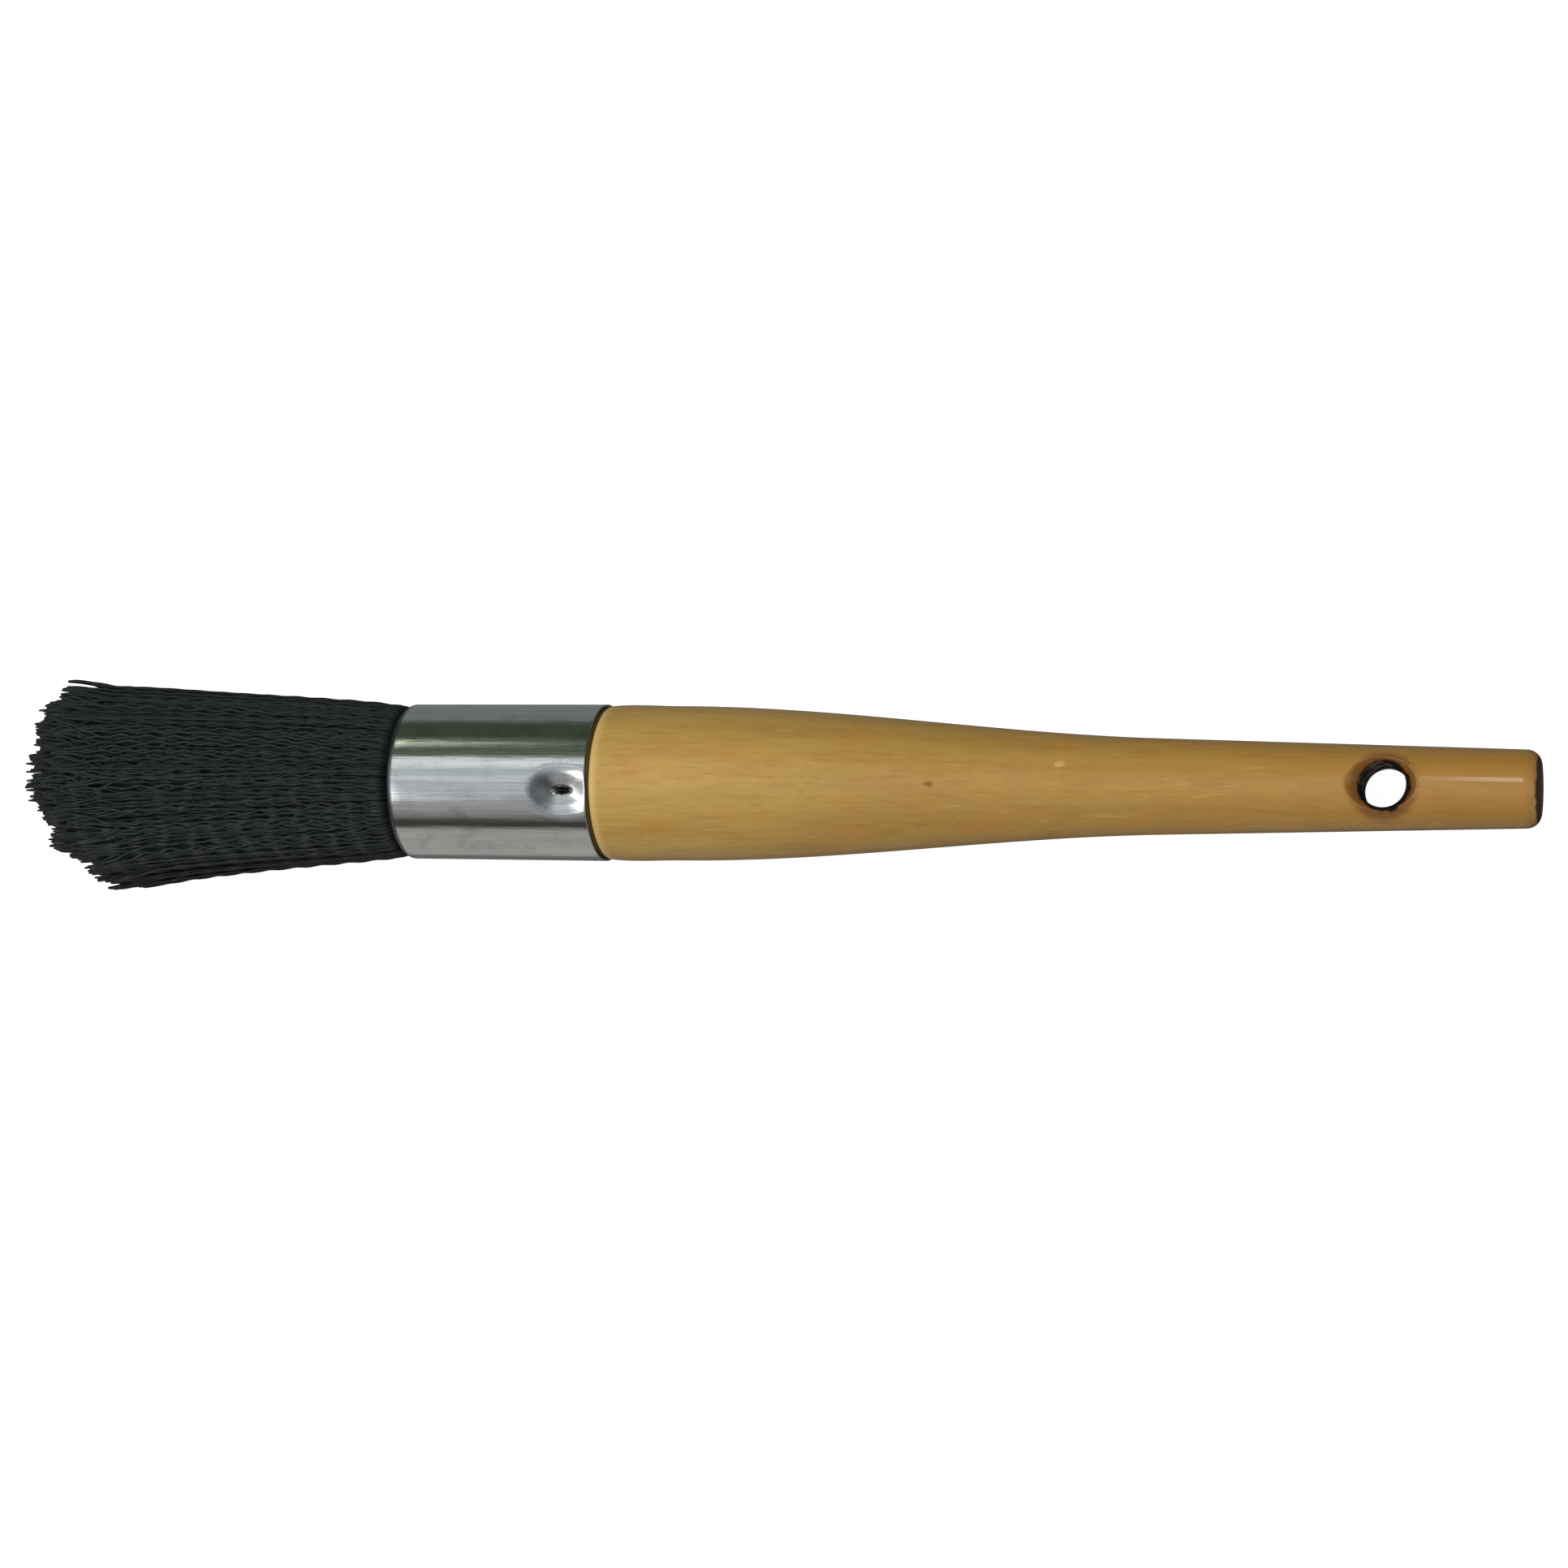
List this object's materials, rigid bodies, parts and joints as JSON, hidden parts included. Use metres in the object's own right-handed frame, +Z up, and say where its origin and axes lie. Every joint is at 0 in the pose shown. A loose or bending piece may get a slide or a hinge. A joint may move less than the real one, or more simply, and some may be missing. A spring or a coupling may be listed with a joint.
{
  "type": "round stencil brush",
  "caption": "Round brush: flared knot of black crimped filaments, bright staked ferrule, and a lacquered turned wood handle with a hang hole.",
  "frame": {"origin": "on the plane the brush lies on, under the middle of its bounding box", "axes": "+X along the brush from the filaments to the butt of the handle, +Z up from the plane it lies on, +Y across it"},
  "size_m": [0.2654, 0.0358, 0.0358],
  "materials": {
    "lacquered_wood": "clear gloss lacquer over pale hardwood, honey coloured, darker at the butt and round the hang hole",
    "plated_steel": "bright plated sheet with fine draw lines along the tube",
    "cured_resin": "clear amber, hidden inside the ferrule",
    "black_filament": "black synthetic filament with a soft sheen, crimped"
  },
  "bodies": {
    "root": {"handle": "lacquered_wood", "ferrule": "plated_steel", "setting_resin": "cured_resin", "filament_knot": "black_filament"}
  },
  "joints": []
}
